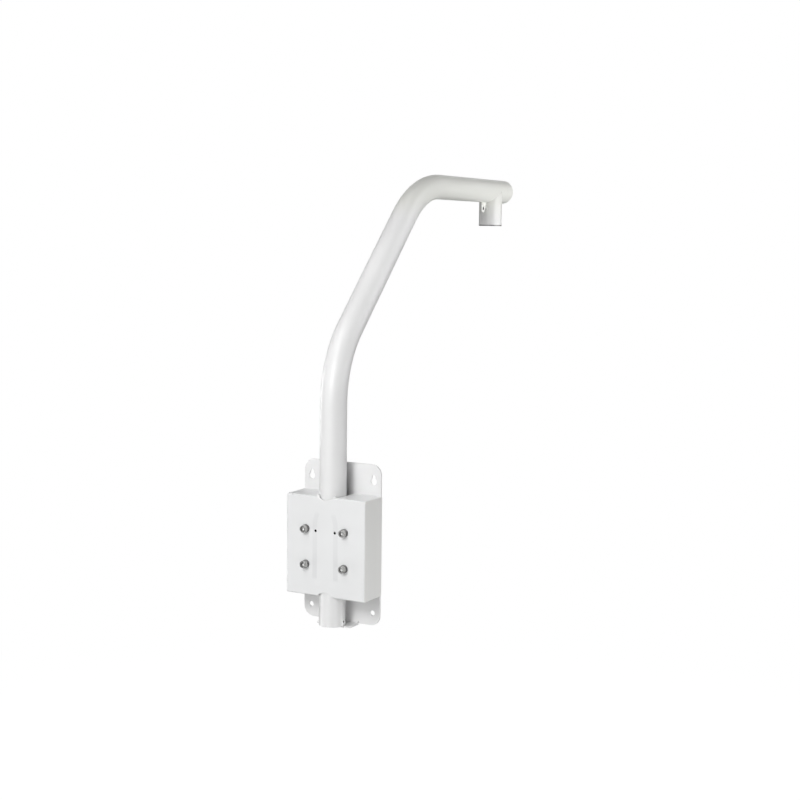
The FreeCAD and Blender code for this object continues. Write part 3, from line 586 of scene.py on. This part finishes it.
# -----------------------------------------------------------------------------------------------------------
# the camera coupling: coped to the arm, bored and threaded
# -----------------------------------------------------------------------------------------------------------
def coupling():
    count = 144

    def top(r, a):
        return max(0.0, 30.0 ** 2 - (r * math.cos(a)) ** 2)

    def seat(r, a):
        return min(ARM_Z - math.sqrt(top(r, a)), ARM_Z - 4.6)

    def circle_at(r, z):
        return [(r * math.cos(TAU * j / count), DROP_Y + r * math.sin(TAU * j / count), z) for j in range(count)]

    rings, picks = [], []

    def add(ring, pick):
        rings.append(ring)
        picks.extend([pick] * count)

    # picks: 0 coat, 1 the machined rim and the threaded wall, 2 the bore
    z0 = DROP_Z
    for r, dz in ((29.1, 0.0), (29.45, 0.06), (29.8, 0.27), (29.96, 0.55), (30.0, 0.9)):
        add(circle_at(r, z0 + dz), 1)
    for k in range(17):
        share = k / 16
        add([(30.0 * math.cos(TAU * j / count), DROP_Y + 30.0 * math.sin(TAU * j / count),
              (z0 + RIM_HIGH) + (seat(30.0, TAU * j / count) - z0 - RIM_HIGH) * share) for j in range(count)], 0)
    for r in (28.0, 26.0, 24.0, 22.5):
        add([(r * math.cos(TAU * j / count), DROP_Y + r * math.sin(TAU * j / count), seat(r, TAU * j / count))
             for j in range(count)], 0)
    for k in range(0, 5):
        share = k / 4
        add([(21.0 * math.cos(TAU * j / count), DROP_Y + 21.0 * math.sin(TAU * j / count),
              seat(21.0, TAU * j / count) + (z0 + 30.4 - seat(21.0, TAU * j / count)) * share)
             for j in range(count)], 2)
    add(circle_at(21.3, z0 + 30.0), 1)
    add(circle_at(23.9, z0 + 30.0), 1)
    for k in range(1, 9):
        add(circle_at(23.9, z0 + 30.0 - (30.0 - 1.0) * k / 8), 1)
    for r, dz in ((24.1, 0.62), (24.4, 0.25), (24.75, 0.04), (25.1, 0.0)):
        add(circle_at(r, z0 + dz), 1)
    verts, faces = grid(rings, closed_v=True)
    obj = make("camera_coupling_coated", verts, faces, [COAT_MAST, RIM, INSIDE_STEEL_AND_SHADE], "mast", picks)
    tidy(obj, 40)
    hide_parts("camera_coupling")

    # the pipe thread: one helical ridge of rounded section, eleven turns to the inch
    pitch, turns, per = 2.309, 11.6, 96
    steps = int(turns * per)
    section = [(24.0, -1.05), (23.55, -0.72), (22.75, -0.26), (22.5, 0.0), (22.75, 0.26), (23.55, 0.72), (24.0, 1.05)]
    rings = []
    for i in range(steps + 1):
        a = TAU * i / per
        fade = min(1.0, i / (per * 0.4), (steps - i) / (per * 0.4))
        z = DROP_Z + 1.7 + pitch * a / TAU
        rings.append([((24.0 - (24.0 - r) * fade) * math.cos(a), DROP_Y + (24.0 - (24.0 - r) * fade) * math.sin(a),
                       z + dz * (0.3 + 0.7 * fade)) for r, dz in section])
    verts, faces = grid(rings, closed_u=True)
    n = len(section)
    faces.append(tuple(range(n))[::-1])
    faces.append(tuple(range(steps * n, (steps + 1) * n)))
    tidy(make("coupling_thread", verts, faces, RIM, "mast"), 60)


coupling()

# welds: coupling to arm, end cap, safety eye
saddle = []
for j in range(480):
    a = TAU * j / 480
    x = 30.0 * math.cos(a)
    z = ARM_Z - math.sqrt(max(0.0, 900.0 - x * x))
    saddle.append((x, DROP_Y + 30.0 * math.sin(a), z))


def saddle_radius(share):
    x = abs(math.cos(TAU * share))
    return 1.9 - 1.15 * x ** 6


bead("weld_coupling", saddle, saddle_radius, "mast")
ring = []
for j in range(360):
    a = TAU * j / 360
    r = 29.58 - 0.40 * max(0.0, math.sin(a)) ** 2
    ring.append((r * math.cos(a), ARM_TO, ARM_Z + r * math.sin(a)))
bead("weld_end_cap", ring, 0.75, "mast", ripple=0.05)


def eye_weld(share):
    lump = max(0.0, 1.0 - ((share - 0.11) / 0.11) ** 2)
    neck = math.exp(-((share - 0.285) / 0.04) ** 2)
    return 1.25 + 1.55 * lump - 0.65 * neck


for side in (-1, 1):
    x = 1.25 * side
    yw = DROP_Y - math.sqrt(900.0 - 1.56)
    zu = ARM_Z - math.sqrt(900.0 - 1.56)
    pts = [(x + side * (1.3 if i < 23 else max(0.0, 1.3 - 0.25 * (i - 22))), yw - 0.2 - (0.6 if i < 23 else 0.0),
            zu - 21.0 + 0.4 * i) for i in range(51)]
    pts += [(x, yw - 0.9 - 0.4 * i, zu - 0.8) for i in range(59)]
    bead("weld_eye_left" if side < 0 else "weld_eye_right", pts, eye_weld, "mast", closed=False, ripple=0.12, pitch=1.9)

# -----------------------------------------------------------------------------------------------------------
# plate, cover and the pieces inside: the CAD shapes with eased edges
# -----------------------------------------------------------------------------------------------------------
refine("back_plate", COAT, width=0.5, segments=3)
refine("clamp_cover", COAT_COVER, width=0.35, segments=2)
eye = refine("safety_eye", COAT_MAST, width=0.6, segments=3, body="mast")
# the inside of the eye's hole takes the dark steel: painted shade in the hole
eye.data.materials.append(INSIDE_STEEL_AND_SHADE)
for face in eye.data.polygons:
    if math.hypot(face.center.y / MM - 693.31, face.center.z / MM - 762.85) < 4.75 and abs(face.normal.x) < 0.5:
        face.material_index = 1
for node in ("saddle_upper", "saddle_lower", "clamp_rail_left", "clamp_rail_right", "threaded_pillars"):
    refine(node, COAT, width=0.4, segments=2)
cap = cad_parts["arm_end_cap"]
cap.data.materials.clear()
cap.data.materials.append(COAT_MAST)

# welds inside the clamp: pillars and saddles to the plate
for i, (px, pz) in enumerate(((-50, 37.4), (50, 37.4), (-50, -43.0), (50, -43.0)), start=1):
    bead("weld_pillar_%d" % i, [(px + 10.3 * math.cos(TAU * j / 120), -4.3, pz + 10.3 * math.sin(TAU * j / 120))
                                for j in range(120)], 1.4, "wall_bracket", sides=8)
# and at both ends of the round notch in the cover's top edge, run out along its edge
for side in (-1, 1):
    pts = []
    for i in range(83):
        px = 24.5 - 0.25 * i
        edge = 134.1 - math.sqrt(961.0 - px * px) if px < 22.2 else 112.5
        pts.append((side * px, max(-75.5, -44.0 - math.sqrt(34.55 ** 2 - px * px)), edge + 0.8))
    seam = bead("weld_notch_left" if side < 0 else "weld_notch_right", pts,
                lambda s: 1.1 + 1.8 * (0.5 + 0.5 * math.cos(math.pi * min(1.0, max(0.0, (s - 0.16) / 0.44)))), "wall_bracket",
                closed=False, sides=16, ripple=0.018, pitch=1.9, ends=0.9)
    # the left seam takes the whiter coat: a painted highlight on the notch's left corner
    if side < 0:
        seam.data.materials[0] = COAT_PAINTED_HIGHLIGHT
for name, zc in (("upper", 82.0), ("lower", -83.0)):
    for side in (-1, 1):
        bead("weld_saddle_%s_%s" % (name, "left" if side < 0 else "right"),
             [(side * 42.2, -4.4, zc - 13 + 0.65 * i) for i in range(41)], 1.5, "wall_bracket", closed=False, sides=8)


# -----------------------------------------------------------------------------------------------------------
# fasteners
# -----------------------------------------------------------------------------------------------------------
SEAT = 76.3
PLACES = [(-50, 37.4), (50, 37.4), (-50, -43.0), (50, -43.0)]


def screw(px, pz, turn):
    """One socket-head screw: knurled head, hexagon socket, threaded shank. Its seat is at y = -(SEAT + 4.6).
    Returns points, faces and the material of each face: 0 sides, 1 top face, 2 socket walls, 3 socket floor."""
    y0 = -(SEAT + 4.6)
    count = 144

    def point(r, y, a):
        return (px + r * math.cos(a + turn), y, pz + r * math.sin(a + turn))

    def hexagon(a):
        b = (a % (TAU / 6)) - TAU / 12
        return 4.0 / math.cos(b)

    rings, picks = [], []

    def ring(f, y, pick):
        rings.append([point(f(TAU * j / count) if callable(f) else f, y, TAU * j / count) for j in range(count)])
        picks.extend([pick] * count)

    def knurled(depth):
        return lambda a: 8.0 - depth * (0.5 - 0.5 * math.cos(a * 36)) ** 0.8

    # the drilled dimple and the floor of the socket, its walls, the top face, the rounded rim, the side, the underside
    ring(0.02, y0 - 4.3, 3)
    ring(2.2, y0 - 4.75, 3)
    ring(3.1, y0 - 5.0, 3)
    ring(hexagon, y0 - 5.0, 2)
    ring(hexagon, y0 - 7.4, 2)
    ring(hexagon, y0 - 9.6, 2)
    ring(lambda a: hexagon(a) + 0.35, y0 - 9.98, 1)
    ring(5.1, y0 - 10.0, 1)
    ring(6.0, y0 - 10.0, 1)
    ring(6.9, y0 - 9.98, 1)
    ring(7.45, y0 - 9.82, 0)
    ring(7.8, y0 - 9.45, 0)
    ring(7.96, y0 - 9.0, 0)
    ring(8.0, y0 - 8.6, 0)
    for y in (8.3, 7.4, 6.2, 5.0, 3.8, 2.6, 1.7):
        ring(knurled(0.34), y0 - y, 0)
    ring(8.0, y0 - 1.4, 0)
    ring(8.0, y0 - 0.5, 0)
    ring(7.8, y0 - 0.12, 0)
    ring(7.5, y0, 0)
    ring(5.3, y0, 0)
    # shank with its thread
    pitch = 1.5
    ys = [i * 0.3 for i in range(1, int(38.8 / 0.3) + 1)]
    for y in ys:
        def worm(a, y=y):
            if y < 6:
                return 4.95
            t = ((y / pitch - a / TAU) % 1.0)
            return 4.95 - 0.75 * abs(2 * t - 1) ** 1.1
        ring(worm, y0 + y, 0)
    ring(4.1, y0 + 39.4, 0)
    ring(3.9, y0 + 39.95, 0)
    ring(0.02, y0 + 40.0, 0)
    verts, faces = grid(rings)
    return verts, faces, picks[:len(faces)]


def flat_washer(px, pz):
    count = 120
    y0 = -SEAT
    prof = [(5.25, -0.3), (5.4, 0.0), (8.7, 0.0), (8.92, -0.09), (9.0, -0.3), (9.0, -1.6), (8.9, -1.86), (8.6, -2.0),
            (5.6, -2.0), (5.35, -1.9), (5.25, -1.65)]
    rings = [[(px + r * math.cos(TAU * j / count), y0 + y, pz + r * math.sin(TAU * j / count)) for r, y in prof]
             for j in range(count)]
    verts, faces = grid(rings, closed_v=True)
    return verts, faces, [0] * len(faces)


def spring_washer(px, pz, start):
    """A split ring of square wire, its two cut ends a hair apart."""
    count = 132
    y0 = -(SEAT + 2.0)
    prof = [(5.1, -0.35), (5.3, -0.05), (8.75, -0.02), (8.98, -0.2), (9.05, -0.5), (9.05, -2.1), (8.95, -2.42),
            (8.7, -2.56), (5.35, -2.56), (5.12, -2.3)]
    rings = []
    for j in range(count + 1):
        share = j / count
        rings.append([])
        for r, y in prof:
            # the cut is slanted across the wire
            a = start + (TAU - 0.17) * share + 0.16 * (y / -2.6)
            lift = 0.06 * (share - 0.5)
            rings[-1].append((px + r * math.cos(a), y0 + y - lift * 0.3, pz + r * math.sin(a)))
    verts, faces = grid(rings)
    n = len(prof)
    faces.append(tuple(range(n)))
    faces.append(tuple(range(count * n, (count + 1) * n))[::-1])
    return verts, faces, [0] * len(faces)


def fastener(name, node, pieces, mats, sharp):
    verts, faces, picks = [], [], []
    for v, f, m in pieces:
        base = len(verts)
        verts += v
        faces += [tuple(i + base for i in q) for q in f]
        picks += m
    obj = make(name, verts, faces, mats, "wall_bracket", picks)
    tidy(obj, sharp, 1e-6)
    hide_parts(node)
    return obj


TURNS = (0.35, 1.1, 0.8, 0.15)
fastener("clamp_bolts_turned", "clamp_bolts", [screw(x, z, t) for (x, z), t in zip(PLACES, TURNS)],
         [STEEL, STEEL_FACE, STEEL_SOCKET_PAINTED_SHADE, STEEL_FLOOR_PAINTED_HIGHLIGHT], 42)
fastener("flat_washers_turned", "flat_washers", [flat_washer(x, z) for x, z in PLACES], [STEEL_WASHER_PAINTED_SHADE], 42)
fastener("spring_washers_turned", "spring_washers",
         [spring_washer(x, z, s) for (x, z), s in zip(PLACES, (0.6, 3.9, 2.2, 5.2))], [STEEL_SPRING_PAINTED_SHADE], 42)


def tapped_hole(name, x, z, y_front, y_back, pitch=1.0, outer=3.0, inner=2.45):
    """The thread in a tapped hole along Y: a worm-shaped wall from the front to the back."""
    count, step = 48, 0.1
    rings = []
    n = int(round((y_back - y_front) / step))
    rings.append([(x + (outer + 0.02) * math.cos(TAU * j / count), y_front, z + (outer + 0.02) * math.sin(TAU * j / count))
                  for j in range(count)])
    for i in range(n + 1):
        y = y_front + (y_back - y_front) * i / n
        ring = []
        for j in range(count):
            t = (y / pitch - j / count) % 1.0
            r = inner + (outer - 0.06 - inner) * abs(2 * t - 1)
            ring.append((x + r * math.cos(TAU * j / count), y, z + r * math.sin(TAU * j / count)))
        rings.append(ring)
    rings.append([(x + (outer + 0.02) * math.cos(TAU * j / count), y_back, z + (outer + 0.02) * math.sin(TAU * j / count))
                  for j in range(count)])
    verts, faces = grid(rings, closed_v=True)
    return tidy(make(name, verts, faces, TAPPED_PAINTED_SHADE, "wall_bracket"), 50)


# the lock holes' threads in near-black steel: painted shade in the holes
for side in (-1, 1):
    tapped_hole("lock_thread_left" if side < 0 else "lock_thread_right", 25.0 * side, 34.2, -76.25, -64.0)


# -----------------------------------------------------------------------------------------------------------
# floor, surroundings and lights
# -----------------------------------------------------------------------------------------------------------
FLOOR_Z = -0.95


def stage():
    mat = bpy.data.materials.new("pale_floor")
    n = Nodes(mat)
    place = n.add("TexCoord").outputs["Object"]
    far = n.add("VectorMath", _operation="LENGTH", i0=place).outputs["Value"]
    share = n.ramp(far, 0.8, 2.6, 0.12, 0.0)
    white = n.add("Emission", Color=(1, 1, 1, 1), Strength=0.94).outputs[0]
    full = n.add("Emission", Color=(1, 1, 1, 1), Strength=1.0).outputs[0]
    paint = n.add("BsdfDiffuse", Color=(0.9, 0.9, 0.9, 1)).outputs[0]
    near = n.add("MixShader", i0=share, i1=full, i2=n.add("AddShader", i0=white, i1=paint).outputs[0]).outputs[0]
    plain = n.add("BsdfDiffuse", Color=(0.62, 0.62, 0.61, 1)).outputs[0]
    ray = n.add("LightPath").outputs["Is Camera Ray"]
    seen = n.add("MixShader", i0=ray, i1=plain, i2=near).outputs[0]
    n.link(seen, n.out.inputs[0])
    me = bpy.data.meshes.new("floor")
    s = 30.0
    me.from_pydata([(-s, -s, 0), (s, -s, 0), (s, s, 0), (-s, s, 0)], [], [(0, 1, 2, 3)])
    me.materials.append(mat)
    floor = bpy.data.objects.new("floor", me)
    floor.location = (0, 0.2, FLOOR_Z)
    bpy.context.scene.collection.objects.link(floor)

    world = bpy.data.worlds.new("studio")
    bpy.context.scene.world = world
    world.use_nodes = True
    t = world.node_tree
    t.nodes.clear()
    out = t.nodes.new("ShaderNodeOutputWorld")
    seen = t.nodes.new("ShaderNodeBackground")
    seen.inputs[0].default_value = (1, 1, 1, 1)
    seen.inputs[1].default_value = 1.0
    room = t.nodes.new("ShaderNodeBackground")
    room.inputs[0].default_value = (1, 1, 1, 1)
    room.inputs[1].default_value = WORLD
    ray = t.nodes.new("ShaderNodeLightPath")
    mix = t.nodes.new("ShaderNodeMixShader")
    t.links.new(ray.outputs["Is Camera Ray"], mix.inputs[0])
    t.links.new(room.outputs[0], mix.inputs[1])
    t.links.new(seen.outputs[0], mix.inputs[2])
    t.links.new(mix.outputs[0], out.inputs[0])


WORLD = 0.048
# soft boxes: name, azimuth (0 in front of the plate, + to its right) and elevation in degrees, distance, what it is
# aimed at, side of the square, power in watts
LIGHTS = [
    ("far_1", 120, -35, 2.4, (0, 0.25, 0.32), 1.3, 33.94),
    ("far_2", 0, 0, 2.4, (0, 0.25, 0.32), 1.3, 10.69),
    ("far_3", 120, 35, 2.4, (0, 0.25, 0.32), 1.3, 10.23),
    ("far_4", 150, 35, 2.4, (0, 0.25, 0.32), 1.3, 1.38),
    ("far_5", 0, 88, 2.4, (0, 0.25, 0.32), 1.3, 2.26),
    ("key_1", 0, 20, 2.4, (0, 0.25, 0.32), 0.45, 1.08),
    ("key_2", 0, 50, 2.4, (0, 0.25, 0.32), 0.45, 5.02),
    ("clamp_1", -20, -20, 1, (0, -0.05, 0), 0.4, 0.22),
    ("clamp_2", 60, -20, 1, (0, -0.05, 0), 0.4, 1.28),
    ("clamp_3", -30, 70, 1, (0, -0.05, 0), 0.4, 0.84),
    ("mast_1", -100, 0, 1, (0, 0, 0.3), 0.4, 2.15),
    ("mast_2", -20, 0, 1, (0, 0, 0.3), 0.4, 0.30),
    ("arm_1", 0, 20, 1, (0, 0.6, 0.8), 0.4, 0.40),
    ("drop_1", 0, 0, 0.7, (0, 0.74, 0.76), 0.25, 0.03),
    ("drop_2", 80, 0, 0.7, (0, 0.74, 0.76), 0.25, 0.98),
    ("drop_3", 110, 0, 0.7, (0, 0.74, 0.76), 0.25, 0.54),
    ("key_small_1", 0, 25, 2.4, (0, 0.1, 0.2), 0.6, 17.60),
    ("key_small_2", 15, 25, 2.4, (0, 0.1, 0.2), 0.6, 6.97),
    ("key_small_3", 15, 32, 2.4, (0, 0.1, 0.2), 0.6, 1.04),
    ("foot_1", -70, -10, 0.8, (0, -0.06, -0.15), 0.3, 1.08),
    ("foot_2", 0, -10, 0.8, (0, -0.06, -0.15), 0.3, 0.52),
    ("strip_1", 120, -30, 1.6, (0, 0.2, 0.5), 0.25, 0.77),
    ("strip_2", 105, 0, 1.6, (0, 0.2, 0.5), 0.25, 2.77),
    ("strip_3", 135, 0, 1.6, (0, 0.2, 0.5), 0.25, 2.22),
    ("back_1", 205, 24, 2.6, (0, 0.2, 0.3), 1.4, 5.0),
]


def lights():
    for name, azimuth, elevation, far, aim, side, watts in LIGHTS:
        a, e = math.radians(azimuth), math.radians(elevation)
        place = Vector(aim) + far * Vector((math.sin(a) * math.cos(e), -math.cos(a) * math.cos(e), math.sin(e)))
        data = bpy.data.lights.new("light_" + name, "AREA")
        data.shape = "SQUARE"
        data.size = side
        data.energy = watts
        obj = bpy.data.objects.new("light_" + name, data)
        bpy.context.scene.collection.objects.link(obj)
        obj.location = place
        obj.visible_camera = False
        obj.rotation_euler = (Vector(aim) - place).to_track_quat("-Z", "Y").to_euler()


stage()
lights()
bpy.context.scene.view_settings.view_transform = "Standard"
bpy.context.scene.view_settings.look = "None"
